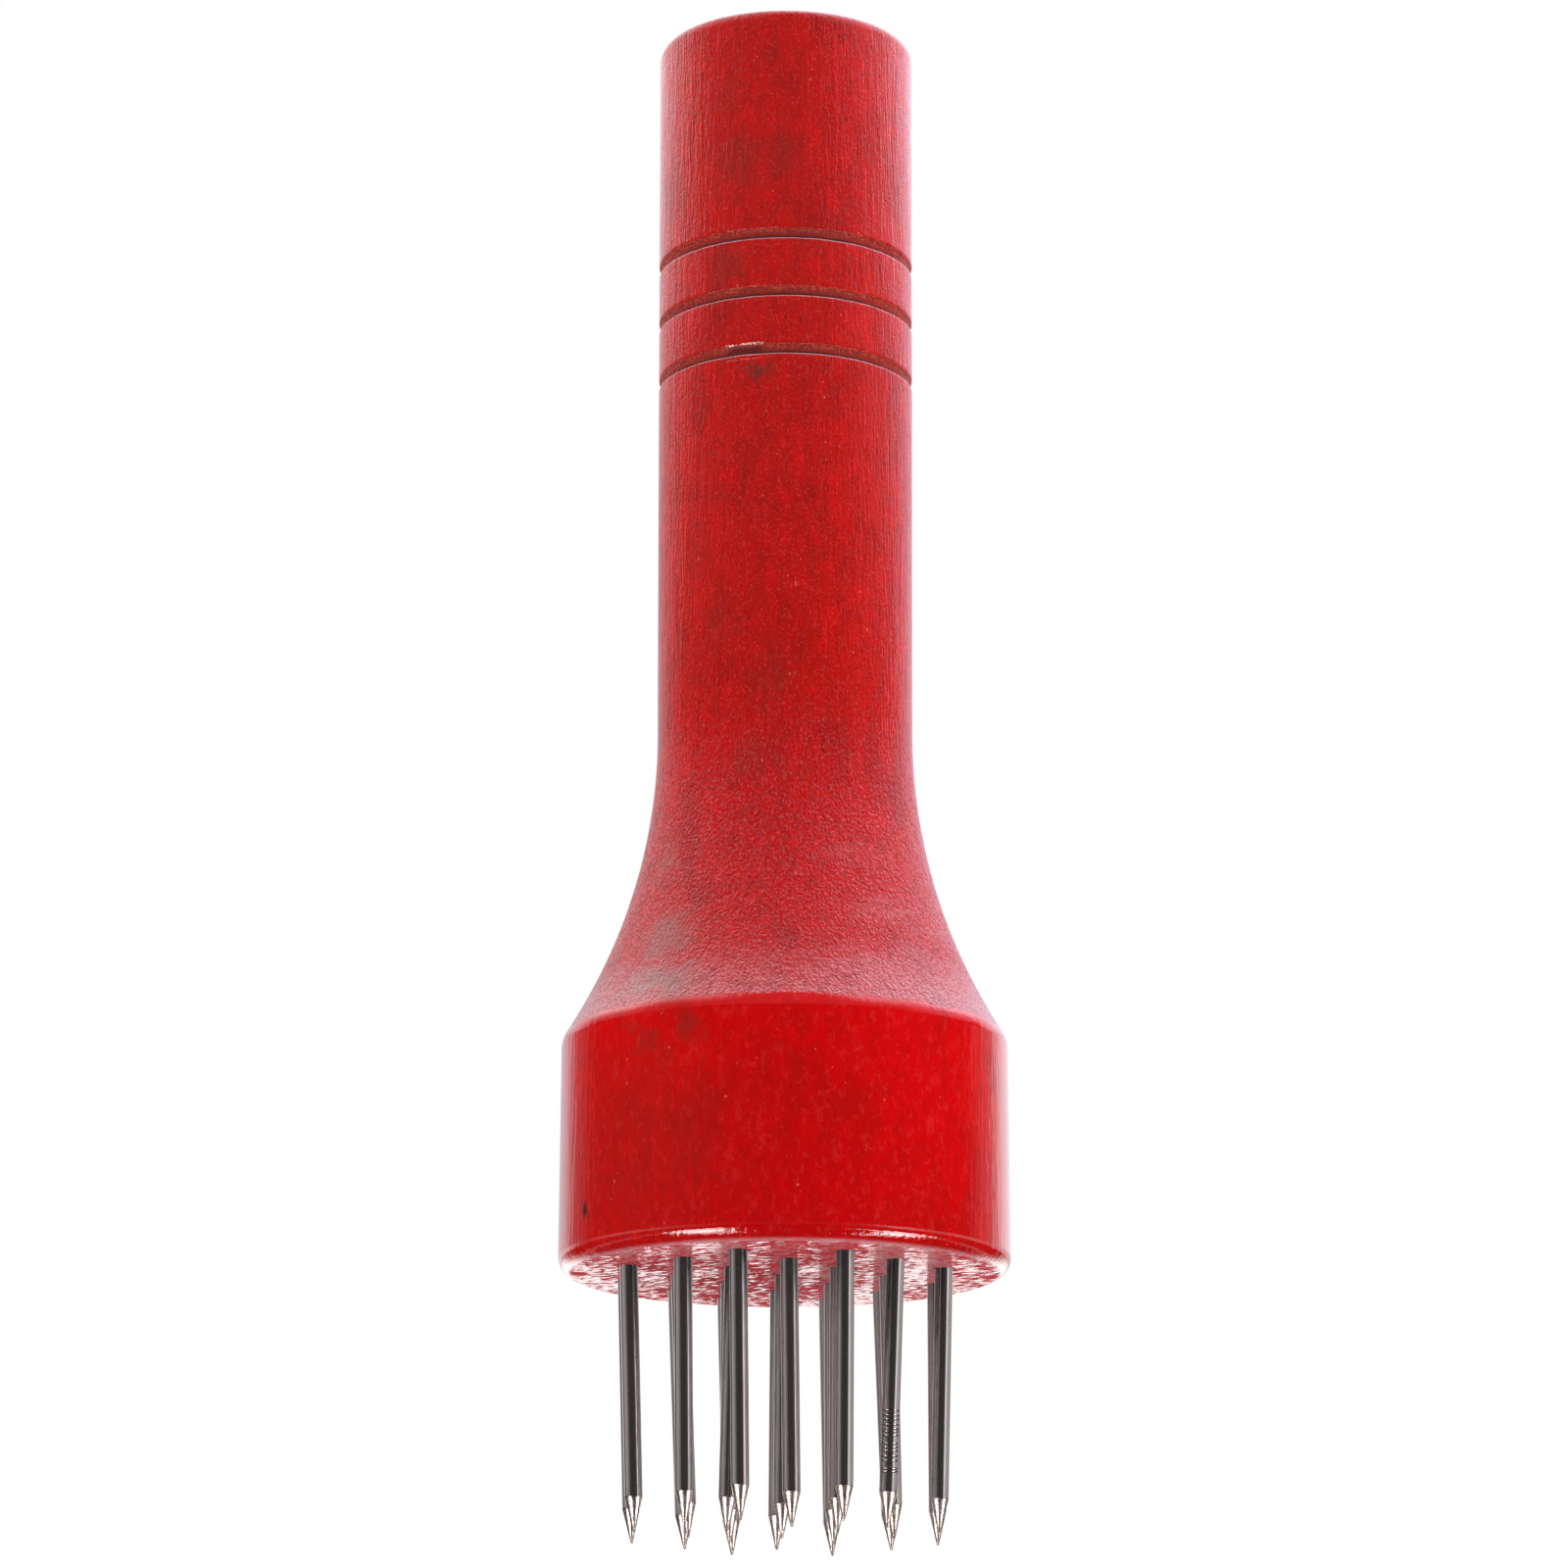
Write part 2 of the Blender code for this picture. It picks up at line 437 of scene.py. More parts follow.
# Needles: drawn wire ground to a cone, standing where the solids stand
needle = {
    "diameter": 2.3 * mm,
    "inset": 8.0 * mm,  # from the head's edge to the outermost axes
    "outermost": (2, 1),  # where those stand, in steps of the grid
    "gridTurn": 45,
    "pointLength": 4.4 * mm,
    "blunt": 0.12 * mm,
    "chamfer": 0.2 * mm,
    "edgeRound": 0.03 * mm,  # of the edge between cone and shank
    "sides": 40,
    "coneRows": 12,
    "shankStep": 1.5 * mm,
    "edgeRows": (-0.07 * mm, 0.06 * mm, 0.12 * mm),  # past that edge
    "tipDepth": 0.05 * mm,  # how near a solid's ends the corners of its tip and top are
    "topDepth": 0.1 * mm,
    "ground": 0.1 * mm,  # half the change from ground to drawn steel
    "burnt": (0.3 * mm, 2.2 * mm),  # from and to, over the point
    "boreGap": 0.03 * mm,
    "boreSpare": 0.3 * mm,
    "boreStart": 1.2 * mm,
    "scratched": "needle_f1",
    # how far up the fine rings are that a file left on one needle
    "scratches": [h * mm for h in (
        14.56, 13.95, 13.46, 12.78, 12.25, 11.90, 11.42, 10.40, 9.95, 9.48, 8.82, 8.25, 7.22, 6.86,
    )],
    "scratchDepth": 0.028 * mm,
    "scratchWidth": 0.06 * mm,
    "scratchRows": (-2.2, 2.2, 9),  # from and to, in widths, and how many
}
sharpEdge = math.radians(34)  # faces that meet at more than this keep their edge


def needleAxis(node):
    # the tip and the middle of the top face, from the solid's own corners
    corners = vertexPoints(node.data)
    height = corners[:, 2]
    tip = corners[height < height.min() + needle["tipDepth"]].mean(0)
    top = corners[height > height.max() - needle["topDepth"]].mean(0)
    return tip, top


def spokesRound(tip, top):
    # the direction from tip to top, and a circle of spokes across it, each one metre long
    axis = (top - tip) / np.linalg.norm(top - tip)
    side = np.cross(axis, (0.0, 1.0, 0.0))
    side = side / np.linalg.norm(side)
    angle = circleAngles(needle["sides"])[:, None]
    return axis, np.cos(angle) * side + np.sin(angle) * np.cross(axis, side)


def needleOutline(length, scratched):
    # (radius, distance from the tip) along the needle, from its point to its seat in the wood
    full = needle["diameter"] / 2
    cone = needle["pointLength"]
    seat = length - needle["chamfer"]
    before, after, first = needle["edgeRows"]
    rows = [
        np.linspace(0.0, cone, needle["coneRows"]),
        np.arange(cone + first, seat, needle["shankStep"]),
        [cone + before, cone + after, seat, length],
    ]
    scratches = needle["scratches"] if scratched else []
    for place in scratches:
        rows.append(place + np.linspace(*needle["scratchRows"]) * needle["scratchWidth"])
    run = np.unique(np.round(np.concatenate(rows), 7))
    radius = np.interp(run, [0.0, cone], [needle["blunt"], full])
    # the edge between cone and shank is broken by a soft round
    slope = (full - needle["blunt"]) / cone
    away = (run - cone) / needle["edgeRound"]
    radius = radius - needle["edgeRound"] * slope / 2 * np.exp(-(away**2))
    radius = np.where(run > length - needle["chamfer"] / 2, full - needle["chamfer"], radius)
    for place in scratches:
        away = (run - place) / needle["scratchWidth"]
        radius = radius - needle["scratchDepth"] * np.exp(-(away**2))
    return radius[:, None, None], run[:, None, None]


def needleSurface(name, tip, top):
    # circles of the outline's radius round the line from tip to top
    axis, spokes = spokesRound(tip, top)
    radius, run = needleOutline(np.linalg.norm(top - tip), name.startswith(needle["scratched"]))
    return ringSurface(name, tip + run * axis + radius * spokes)


def boreCutter(axes):
    # one closed cylinder for each needle's bore, all in one mesh
    sides = needle["sides"]
    ring = np.arange(sides)
    after = (ring + 1) % sides
    points, faces = [], []
    for number, (tip, top) in enumerate(axes):
        axis, spokes = spokesRound(tip, top)
        circle = (needle["diameter"] / 2 + needle["boreGap"]) * spokes
        root = tip + axis * (underside - tip[2]) / axis[2]
        points.append(root - axis * needle["boreStart"] + circle)
        points.append(top + axis * needle["boreSpare"] + circle)
        lower = 2 * sides * number
        upper = lower + sides
        faces += np.column_stack([lower + ring, lower + after, upper + after, upper + ring]).tolist()
        faces += [(lower + ring[::-1]).tolist(), (upper + ring).tolist()]
    mesh = bpy.data.meshes.new("bore_drills")
    mesh.from_pydata(np.vstack(points).tolist(), [], faces)
    return addObject("bore_drills", mesh)


def addPiece(name, mesh, material, node):
    piece = addObject(name, mesh)
    mesh.materials.append(material)
    mesh.shade_smooth()
    mesh.set_sharp_from_angle(angle=sharpEdge)
    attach(piece, "root")
    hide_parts(node)
    return piece


# Lacquered wood: dyed red hardwood whose fibres run up the handle, so every pattern is long in Z.
# Sizes are in millimetres
lacquer = {
    "head": (0.67, 0.0016, 0.0028, 1.0),
    "headShadedLow": (0.58, 0.0016, 0.0028, 1.0),  # painted shade: darker near its rim
    "handle": (0.52, 0.0046, 0.0010, 1.0),
    "cove": (0.60, 0.0055, 0.0055, 1.0),
    "cloud": (0.30, 0.006, 0.003, 1.0),
    "bright": (0.72, 0.0016, 0.003, 1.0),
    "curl": (0.78, 0.032, 0.032, 1.0),
    "pore": (0.14, 0.004, 0.004, 1.0),
    "pit": (0.36, 0.008, 0.012, 1.0),
    # painted glints: pale specks
    "glintSpeck": (0.80, 0.20, 0.13, 1.0),
    # painted glints: pale threads
    "glintThread": (0.80, 0.17, 0.175, 1.0),
    "stain": (0.21, 0.022, 0.013, 1.0),
    "knot": (0.05, 0.008, 0.006, 1.0),
    "veil": (0.33, 0.11, 0.097, 1.0),
    # pale pink, partly lacquer bloom and partly painted sheen
    "bloomAndSheen": (0.60, 0.13, 0.14, 1.0),
    # torn fibres in the grooves, darker partly as painted shade
    "torn": (0.31, 0.010, 0.003, 1.0),
    "tornFleck": (0.66, 0.055, 0.022, 1.0),
    # painted shade at a groove's lower wall and under the broken lip
    "grooveShade": (0.13, 0.003, 0.001, 1.0),
    # painted highlight along a groove's lower lip
    "lipHighlight": (0.66, 0.07, 0.055, 1.0),
    "bareDash": (0.90, 0.72, 0.68, 1.0),  # over the chip
    "endRed": (0.60, 0.03, 0.045, 1.0),
    # pale growth rings, partly a painted sheen
    "endPaleAndSheen": (0.80, 0.32, 0.33, 1.0),
    # painted sheen along the underside's edge
    "paintedRimSheen": (0.74, 0.26, 0.29, 1.0),
    "crackRed": (0.50, 0.035, 0.02, 1.0),
    "headGloss": 0.06,
    "handleGloss": 0.13,
    "coveGloss": 0.09,
    "coatGloss": 0.035,
    "tornGloss": 0.5,
    "endGloss": 0.14,  # where it is pale, and where it is red, in the dyed rings and round the needles
    "endRough": 1.0,
    "index": 1.45,
    "footCoat": 0.8,
    # heights of the relief
    "fibreRelief": 0.17,
    "bumpRelief": 0.22,
    "dashRelief": 0.1,
    "waveRelief": 0.045,
    "endRelief": 0.02,
    "pitDepth": 0.012,
    "poreDepth": 0.012,
    "headFibres": 0.32,  # the share of the fibres' relief on the head
    "gripBumps": 0.36,  # the shares of the cove's bumps and pits that the grip has
    "gripPits": 0.2,
    "pitShare": 0.8,  # how fully pits and curls take their colours
    "curlShare": 0.32,
    "veilCover": 0.6,  # the share of the bumps that a veil fills
    # where the finishes change, up from the shoulder's edge and up the cove
    "edgeChange": (-0.2, 0.35),
    "coveFade": (88, 112),
    "footHeight": 9.0,
    # painted sheen over the cove's foot
    "footSheenShare": 0.36,
    "strokeAngle": 18,
    "rings": -30.3,  # their run across the end grain, degrees from +X
    "crack": ((-23.9, -6.7), (-7.7, -16.2)),  # its two ends on the underside
    "crackWidth": 0.9,
    "crackSoft": (0.6, 0.12),  # of its ends and of its sides
    "rootReach": (1.3, 1.8),  # of the red round a needle's axis, painted shade where the needle keeps the sheen off, from full to none
}

# Its noises: scale in each direction, slide, scale per mm, detail, roughness and distortion
grain = {
    "clouds": ((1, 1, 0.5), (0, 0, 0), 0.13, 3.0, 0.6),
    "mottle": ((1, 1, 0.6), (9, 4, 2), 0.55, 5.0, 0.66, 0.5),
    "streaks": ((1, 1, 0.06), (3, 8, 1), 2.2, 2.0, 0.6),
    "specks": ((1, 1, 0.8), (5, 19, 3), 2.1, 0.0),
    "curls": ((1, 1, 0.6), (1, 6, 4), 0.4, 2.0, 0.6, 2.0),
    "wisps": ((1, 1, 0.7), (7, 3, 12), 1.1, 2.0, 0.6, 0.6),
    "threads": ((1, 1, 0.75), (8, 2, 17), 3.4, 2.0, 0.65),
    "torn": ((1, 1, 0.7), (2, 41, 8), 3.4, 1.0),
    "growth": ((0.6, 1.2, 1), (0, 0, 0), 0.95, 4.0, 0.7),
    "soaked": ((1, 0.6, 1), (3, 1, 0), 0.1, 2.0),
    "endPores": ((0.6, 1, 1), (7, 2, 5), 2.4, 1.0),
    "fibres": ((1, 1, 0.06), (0, 0, 0), 1.2, 3.0, 0.7, 0.35),
    "bumps": ((1, 1, 0.7), (2, 41, 8), 2.8, 1.5, 0.6),
    "waves": ((1, 1, 0.12), (6, 1, 3), 1.6, 2.0, 0.6),
    "dashes": ((1, 1, 0.14), (4, 22, 5), 2.8, 1.0),
    "strokes": ((0.1, 0.1, 1), (0, 0, 0), 0.32, 2.0, 0.5),
    "swerve": ((1, 1, 1), (0, 0, 0), 0.5, 2.0),
    "pores": ((1, 1, 0.4), (31, 7, 0), 3.0, 2.0, 0.6),
    "crowd": ((1, 1, 0.5), (14, 3, 9), 0.3, 1.0),
    "pits": ((1, 1, 0.5), (5, 13, 2), 2.6, 3.0, 0.65),
}

# Where they show: from and to this level of a noise, and its least and greatest share
levels = {
    "swerve": (0.2, 0.8, -0.2, 0.2),  # up and down, of the shoulder's edge
    "streakStain": (0.36, 0.56, 0.45, 1.0),
    # painted sheen over the cove's foot
    "sheenOnFoot": (0.3, 0.7, 0.4, 1.6),
    "curl": (0.46, 0.5, 0.03),  # a line between two levels, and its softness
    "curlWisps": (0.42, 0.62),
    "wisps": (0.54, 0.7),
    # painted glints, more of them near the rim
    "glintSpeck": (0.85, 0.79, 0.89, 0.5),  # from, or from near the rim, to, and greatest share
    "strokes": (0.44, 0.56, 0.15, 1.0),
    "pores": (0.6, 0.68),
    "crowd": (0.4, 0.65, 0.0, 0.8),
    "pits": (0.53, 0.6),
    "tornFleck": (0.5, 0.6),
    "sparkle": (0.54, 0.62),
    "bareDash": (0.42, 0.5),
    "soaked": (0.35, 0.65, 0.52, 0.42),  # gives the level at which the growth rings turn red
    "endRed": (-0.02, 0.06),  # over that level
    "endPores": (0.66, 0.72, 0.0, 0.9),
    # painted sheen along the underside's edge
    "paintedRimSheen": (0.3, 0.6, 0.9, 0.6),
}

# Shades laid over the wood: from and to this level of the noise, with a share that is the first
# where its mask is 0 and the second where its mask is 1
shades = {
    "bright": (0.5, 0.68, 0.6, 0.6),
    "dull": (0.5, 0.32, 0.45, 0.3),
    "cloud": (0.5, 0.68, 0.55, 0.3),
    "streak": (0.54, 0.68, 0.3, 0.06),
    # painted glints
    "glintThread": (0.54, 0.68, 0.14, 0.4),
    "darkThread": (0.46, 0.35, 0.45, 0.8),
}

# Bands across a groove, in half widths from its middle, - below it: from, to, softness, share
grooveBands = {
    # painted shade along the lower wall
    "deep": (-0.95, -0.35, 0.2, 1.0),
    # painted highlight on the lower lip
    "lipHighlight": (-1.22, -1.0, 0.07, 0.4),
    # painted sparkle highlights at the upper lip
    "sparkle": (0.95, 1.2, 0.1, 0.6),
    "bareDash": (1.2, 1.5, 0.1, 1.0),
}
# In the same heights: from and to, with the share at each
grooveFlecks = (-0.2, 0.9, 0.1, 0.75)
grooveChip = (1.1, 0.7, 0.0, 0.8)  # painted shade under the broken lip

# Marks: degrees from the camera's side, height, half width, half height, strength. With each kind
# goes the scale and the reach by which its edge wanders
marks = {
    "stain": (0.5, 2.4, [
        (-40, 46, 17, 16, 0.32), (-37, 60.2, 2.6, 2.4, 0.55), (-31, 57.5, 2.2, 3.4, 0.35),
        (-25, 61.2, 2.0, 2.6, 0.6), (-43, 62.4, 2.4, 1.2, 0.5), (-33, 54.5, 2.0, 2.2, 0.3),
        (-13.2, 151.1, 2.0, 1.7, 1.0), (-7, 109.4, 3.6, 5.0, 0.35), (-28.9, 117.4, 3.0, 4.6, 0.35),
        (-15.8, 98.3, 4.0, 4.0, 0.4), (-27.7, 166.8, 3.6, 4.0, 0.45), (-28.3, 189.8, 3.0, 3.6, 0.35),
        (-22.9, 180.2, 4.0, 5.0, 0.5), (-1.8, 180.5, 2.8, 4.0, 0.4),
    ]),
    "knot": (1.6, 0.4, [(-60.1, 39.9, 0.75, 1.3, 1.0)]),
    "veil": (0.35, 3.0, [
        (-37, 68.3, 7.0, 2.8, 1.0), (-40.4, 74.7, 5.0, 4.0, 0.8), (-51.9, 85.7, 2.6, 4.0, 0.55),
    ]),
    # partly lacquer bloom and partly painted sheen
    "bloomAndSheen": (0.2, 3.5, [
        (42, 78, 9.0, 2.6, 0.5), (30, 70, 11.0, 3.0, 0.45), (50, 71, 8.0, 3.0, 0.5),
        (-58, 69, 9.0, 3.0, 0.45), (24, 86, 7.0, 3.0, 0.25),
    ]),
}
markFade = (0.2, 1.3)  # from and to this share of a mark's half size


def wander(place, perUnit, reach):
    # coordinates pushed about by up to reach, for edges that look grown
    node = newNode("ShaderNodeTexNoise", place)
    plug(node.inputs["Vector"], place)
    node.inputs["Scale"].default_value = perUnit
    centred = vectorCalc("SUBTRACT", node.outputs["Color"], (0.5, 0.5, 0.5))
    return vectorCalc("ADD", place, vectorCalc("MULTIPLY", centred, (reach * 2,) * 3))


def spots(place, kind):
    # soft patches: full at a mark's middle, 0 past its reach
    perUnit, reach, rows = marks[kind]
    place = wander(place, perUnit, reach)
    outline = bodyOutline()
    together = 0.0
    for turn, height, across, up, strength in rows:
        around = math.radians(turn + cameraSetup["turn"])
        radius = np.interp(height * mm, outline[:, 1], outline[:, 0]) / mm
        middle = (radius * math.sin(around), -radius * math.cos(around), height)
        size = (1 / across, 1 / across, 1 / up)
        away = shift(place, size, tuple(-m * k for m, k in zip(middle, size)))
        mask = ease(vectorCalc("LENGTH", away), *markFade, strength, 0.0)
        together = calc("MAXIMUM", mask, together)
    return together


def crackLine(place):
    # the split across the end grain: 1 along a line from end to end
    (startX, startY), (endX, endY) = lacquer["crack"]
    angle = math.atan2(endY - startY, endX - startX)
    x, y, _ = separate(turned(place, math.degrees(angle)))
    first = startX * math.cos(angle) + startY * math.sin(angle)
    last = endX * math.cos(angle) + endY * math.sin(angle)
    line = startY * math.cos(angle) - startX * math.sin(angle)
    half = lacquer["crackWidth"] / 2
    softEnd, softSide = lacquer["crackSoft"]
    along = window(x, first, last, softEnd)
    return times(along, window(y, line - half, line + half, softSide))


def rootNearness(place):
    # 1 at the needles' roots, which stand on a turned square grid, 0 a little way off them
    pitch = (rim - needle["inset"]) / math.hypot(*needle["outermost"]) / mm
    cell = turned(place, needle["gridTurn"])
    cell = vectorCalc("MULTIPLY", cell, (1 / pitch, 1 / pitch, 0))
    cell = vectorCalc("ADD", cell, (0.5, 0.5, 0))
    cell = vectorCalc("SUBTRACT", vectorCalc("FRACTION", cell), (0.5, 0.5, 0))
    inner, outer = lacquer["rootReach"]
    return ease(vectorCalc("LENGTH", cell), inner / pitch, outer / pitch, 1.0, 0.0)


def shown(place, name, *shares):
    return ease(noise(place, grain[name]), *levels[name], *shares)


def cover(colour, *coats):
    # lays shades over one another, each given by its mask and its name
    for mask, name in coats:
        colour = blendColour(mask, colour, lacquer[name])
    return colour


def shade(pattern, name, where):
    # a row of shades as a mask: its share differs where the other mask is 0 and 1
    low, high, plain, masked = shades[name]
    return ease(pattern, low, high, 0.0, blendValue(where, plain, masked))


def finishMasks(place):
    # the polished head below the shoulder's edge, the cove above it, and its foot, with more coat and a
    # painted pale sheen
    _, filletZ, meeting = shoulderRound()
    edge = (filletZ + body["shoulderRadius"] * math.sin(meeting)) / mm
    below, above = lacquer["edgeChange"]
    height = separate(place)[2]
    height = calc("ADD", height, shown(place, "swerve"))
    polish = ease(height, edge + below, edge + above, 1.0, 0.0)
    fade = ease(height, *lacquer["coveFade"], 1.0, 0.0)
    cove = times(without(polish), fade)
    foot = times(cove, ease(height, edge, edge + lacquer["footHeight"], 1.0, 0.0))
    rise = ease(height, underside / mm, edge)
    return {"polish": polish, "cove": cove, "foot": foot, "rise": rise}


def woodMasks(tree, place):
    masks = finishMasks(place)
    for name in ("endGrain", "groove", "grooveRow", "chip", "rimWood", "rimSheenBand"):
        masks[name] = attribute(tree, name)
    masks["thin"] = without(calc("MAXIMUM", masks["polish"], masks["endGrain"]))
    pores = shown(place, "pores", 0.0, shown(place, "crowd"))
    masks["pore"] = times(pores, masks["thin"])
    masks["veil"] = spots(place, "veil")
    # pale patches, partly lacquer bloom and partly painted sheen, in strokes of lacquer brushed on that
    # climb to the right of the camera's side
    strokes = shown(turned(place, -lacquer["strokeAngle"], "Y_AXIS"), "strokes")
    masks["bloomAndSheen"] = times(spots(place, "bloomAndSheen"), strokes)
    pitShare = blendValue(masks["cove"], lacquer["gripPits"], 1.0)
    pits = times(shown(place, "pits"), pitShare, masks["thin"])
    masks["pit"] = times(pits, without(masks["veil"]))
    return masks


def woodColour(place, masks):
    clouds, mottle, streaks, specks, curls, wisps, threads = (
        noise(place, grain[name])
        for name in ("clouds", "mottle", "streaks", "specks", "curls", "wisps", "threads")
    )
    polish, cove, thin = masks["polish"], masks["cove"], masks["thin"]
    curl = times(window(curls, *levels["curl"]), ease(wisps, *levels["curlWisps"]))
    curl = calc("MAXIMUM", curl, ease(wisps, *levels["wisps"]))
    stained = times(spots(place, "stain"), ease(streaks, *levels["streakStain"]))
    # painted sheen over the cove's foot
    sheenOnFoot = times(masks["foot"], ease(mottle, *levels["sheenOnFoot"]), lacquer["footSheenShare"])
    usual, nearRim, full, most = levels["glintSpeck"]
    glintStart = blendValue(masks["rimWood"], usual, nearRim)
    # painted shade: the head darker towards its rim
    head = blendColour(masks["rise"], lacquer["headShadedLow"], lacquer["head"])
    colour = cover(lacquer["handle"], (cove, "cove"))
    return cover(
        blendColour(polish, colour, head),
        (shade(mottle, "bright", polish), "bright"),
        (shade(mottle, "dull", polish), "cloud"),
        (shade(clouds, "cloud", polish), "cloud"),
        (times(curl, polish, lacquer["curlShare"]), "curl"),
        (shade(streaks, "streak", polish), "cloud"),
        (stained, "stain"),
        (sheenOnFoot, "bloomAndSheen"),
        (masks["bloomAndSheen"], "bloomAndSheen"),
        (masks["veil"], "veil"),
        (spots(place, "knot"), "knot"),
        (times(masks["pit"], lacquer["pitShare"]), "pit"),
        (masks["pore"], "pore"),
        # painted glints: pale threads, more of them on the cove
        (times(shade(threads, "glintThread", cove), thin), "glintThread"),
        (times(shade(threads, "darkThread", cove), thin), "pit"),
        # painted glints
        (ease(specks, glintStart, full, 0.0, most), "glintSpeck"),
    )


def grooveColour(place, masks, colour):
    # torn fibres: red brown, partly painted shade, paler flecks and painted sparkles at the upper lip,
    # painted shade at the lower wall and under the broken lip, a painted highlight on the lower lip
    threads = noise(place, grain["torn"])
    row, chip = masks["grooveRow"], masks["chip"]

    def band(name, *others):
        first, last, soft, share = grooveBands[name]
        return times(window(row, first, last, soft), share, *others)

    fleck = times(ease(threads, *levels["tornFleck"]), ease(row, *grooveFlecks))
    chipShade = times(chip, ease(row, *grooveChip))
    # painted shade: darker along the lower wall and under the broken lip
    inside = cover(
        lacquer["torn"], (fleck, "tornFleck"), (band("deep"), "grooveShade"), (chipShade, "grooveShade")
    )
    return cover(
        blendColour(masks["groove"], colour, inside),
        # painted highlight along the lower lip
        (band("lipHighlight"), "lipHighlight"),
        # painted sparkle highlights along the upper lip, in the flecks' colour
        (band("sparkle", ease(threads, *levels["sparkle"])), "tornFleck"),
        (band("bareDash", ease(threads, *levels["bareDash"]), chip), "bareDash"),
    )


def endGrainColour(place, masks, colour):
    # pale growth rings, partly a painted sheen, with red dye between them, red round the needles as
    # painted shade where they keep that sheen off, pores and the crack
    growth = noise(turned(place, lacquer["rings"]), grain["growth"])
    soaked = shown(place, "soaked")
    red = ease(calc("SUBTRACT", growth, soaked), *levels["endRed"])
    # painted shade: red round the needles' roots, where they keep the sheen off
    red = calc("MAXIMUM", red, rootNearness(place))
    pores, crack = shown(place, "endPores"), crackLine(place)
    ends = cover(lacquer["endPaleAndSheen"], (red, "endRed"), (pores, "pore"), (crack, "crackRed"))
    colour = blendColour(masks["endGrain"], colour, ends)
    # painted sheen: a pale band along the underside's edge
    edgeSheen = times(masks["rimSheenBand"], ease(growth, *levels["paintedRimSheen"]))
    return cover(colour, (edgeSheen, "paintedRimSheen")), growth, red


def woodRelief(place, masks):
    # millimetres of height: fibres everywhere, bumps and pits where the lacquer is thin
    polish, cove = masks["polish"], masks["cove"]
    unpolished = without(polish)
    fibres, bumps = lacquer["fibreRelief"], lacquer["bumpRelief"]
    bumpShare = blendValue(cove, bumps * lacquer["gripBumps"], bumps)
    covered = without(times(masks["veil"], lacquer["veilCover"]))
    patterns = {
        "fibres": blendValue(polish, fibres, fibres * lacquer["headFibres"]),
        "bumps": times(bumpShare, unpolished, covered),
        "dashes": times(calc("SUBTRACT", unpolished, cove), lacquer["dashRelief"]),
        "waves": times(polish, lacquer["waveRelief"]),
    }
    height = times(masks["pit"], -lacquer["pitDepth"])
    height = calc("SUBTRACT", height, times(masks["pore"], lacquer["poreDepth"]))
    for name, share in patterns.items():
        # counted from its middle, so that no step shows where one finish meets another
        centred = calc("SUBTRACT", noise(place, grain[name]), 0.5)
        height = calc("ADD", height, times(centred, share))
    return height


def lacqueredWood():
    material, tree, shader = newMaterial("red_lacquered_wood", lacquer["handle"])
    place = millimetres(tree)
    masks = woodMasks(tree, place)
    end = masks["endGrain"]
    colour = grooveColour(place, masks, woodColour(place, masks))
    colour, growth, endRed = endGrainColour(place, masks, colour)
    plug(shader.inputs["Base Color"], colour)

    gloss = lacquer["handleGloss"]
    for mask, name in (("cove", "cove"), ("polish", "head"), ("pit", "torn"), ("groove", "torn")):
        gloss = blendValue(masks[mask], gloss, lacquer[name + "Gloss"])
    endGloss = blendValue(endRed, lacquer["endGloss"], lacquer["endRough"])
    plug(shader.inputs["Roughness"], blendValue(end, gloss, endGloss))

    height = woodRelief(place, masks)
    height = blendValue(end, height, times(growth, lacquer["endRelief"]))
    addRelief(shader, height, mm, ("Normal", "Coat Normal"))
    shader.inputs["IOR"].default_value = lacquer["index"]
    coat = times(masks["foot"], lacquer["footCoat"])
    coat = times(calc("MAXIMUM", masks["polish"], coat), without(end))
    plug(shader.inputs["Coat Weight"], coat)
    shader.inputs["Coat Roughness"].default_value = lacquer["coatGloss"]
    return material


# Steel: bright drawn shank, and a brighter ground point with straw brown flecks
steel = {
    "shank": (0.61, 0.525, 0.52, 1.0),
    "point": (0.88, 0.76, 0.70, 1.0),
    "groundDark": (0.24, 0.13, 0.08, 1.0),
    "burnt": (0.16, 0.10, 0.09, 1.0),
    "drawn": ((1, 1, 0.02), (0, 0, 0), 9.0, 2.0),
    "smudges": ((1, 1, 0.5), (0, 0, 0), 0.7, 2.0),
    "flecks": ((1, 1, 1), (0, 0, 0), 5.0, 1.0),
    "cuts": ((1, 1, 2.6), (3, 1, 7), 2.4, 3.0, 0.75),
    # from and to this level of a noise, and its least and greatest share
    "darkLevels": (0.5, 0.62, 0.0, 0.85),
    "burntLevels": (0.36, 0.5),
    "smudgeLevels": (0.3, 0.7, -0.02, 0.04),
    "shankGloss": 0.09,
    "pointGloss": 0.33,
    "drawnRelief": 0.004 * mm,
    "cutRelief": 0.02 * mm,
}


